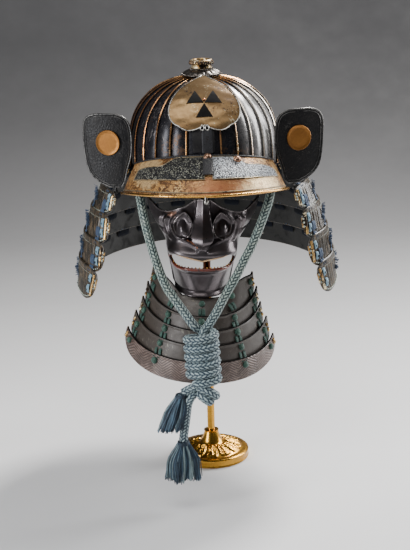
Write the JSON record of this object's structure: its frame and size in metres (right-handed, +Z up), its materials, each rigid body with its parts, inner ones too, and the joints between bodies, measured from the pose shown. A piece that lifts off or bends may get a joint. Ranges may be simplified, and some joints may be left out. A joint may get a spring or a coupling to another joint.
{
  "type": "kabuto samurai helmet with face mask on a stand",
  "caption": "Ribbed iron samurai helmet with crest, laced neck guard, half face mask, throat guard and knotted chin cord, on a small round-footed brass stand.",
  "frame": {"origin": "middle of the stand's foot, on the surface it stands on", "axes": "+Z up along the stand's post, -Y towards the front of the mask, +X to the right of the front view"},
  "size_m": [0.3736, 0.4135, 0.592],
  "materials": {
    "dark_iron": "blue-black lacquered iron, copper where worn",
    "gilt": "old gilding on copper",
    "leaf_lacquer": "worn gold leaf over lacquered iron",
    "black_leather": "black crackled leather",
    "tarnished_silver": "tarnished silver-gilt plate",
    "silver_edge": "dull silver trim",
    "black_lacquer": "black lacquer",
    "lame_lacquer": "dark lacquered lames with laced edges",
    "mask_iron": "glossy russet-black iron",
    "brown_lacquer": "grey-brown lacquer",
    "silk_cord": "braided blue-grey silk",
    "silk_thread": "loose blue-grey silk thread",
    "brass": "polished brass"
  },
  "bodies": {
    "root": {"helmet_bowl": "dark_iron", "bowl_band": "dark_iron", "front_strap": "dark_iron", "crest_bracket": "dark_iron", "cord_ring_left": "dark_iron", "cord_ring_right": "dark_iron", "crown_plate": "silver_edge", "ear_rim_left": "silver_edge", "ear_rim_right": "silver_edge", "crown_ring": "gilt", "visor_rim": "gilt", "rivet_centre": "gilt", "rivet_right": "gilt", "ear_disc_left": "gilt", "ear_disc_right": "gilt", "visor": "leaf_lacquer", "visor_panel_left": "black_leather", "visor_panel_right": "black_leather", "visor_strap": "black_leather", "ear_plate_left": "black_leather", "ear_plate_right": "black_leather", "crest": "tarnished_silver", "crest_triangle_left": "black_lacquer", "crest_triangle_right": "black_lacquer", "crest_triangle_lower": "black_lacquer", "neck_lame_1": "lame_lacquer", "neck_lame_2": "lame_lacquer", "neck_lame_3": "lame_lacquer", "neck_lame_4": "lame_lacquer", "neck_lame_5": "lame_lacquer", "face_mask": "mask_iron", "throat_lame_1": "brown_lacquer", "throat_lame_2": "brown_lacquer", "throat_lame_3": "brown_lacquer", "throat_lame_4": "brown_lacquer", "throat_lame_5": "brown_lacquer", "chin_cord_left": "silk_cord", "chin_cord_right": "silk_cord", "knot_wrap": "silk_cord", "knot_lower": "silk_cord", "cord_tail_short": "silk_cord", "cord_tail_long": "silk_cord", "tassel_short": "silk_thread", "tassel_long": "silk_thread", "stand_base": "brass", "stand_post": "brass", "stand_top": "brass", "mask_bracket": "brass"}
  },
  "joints": []
}
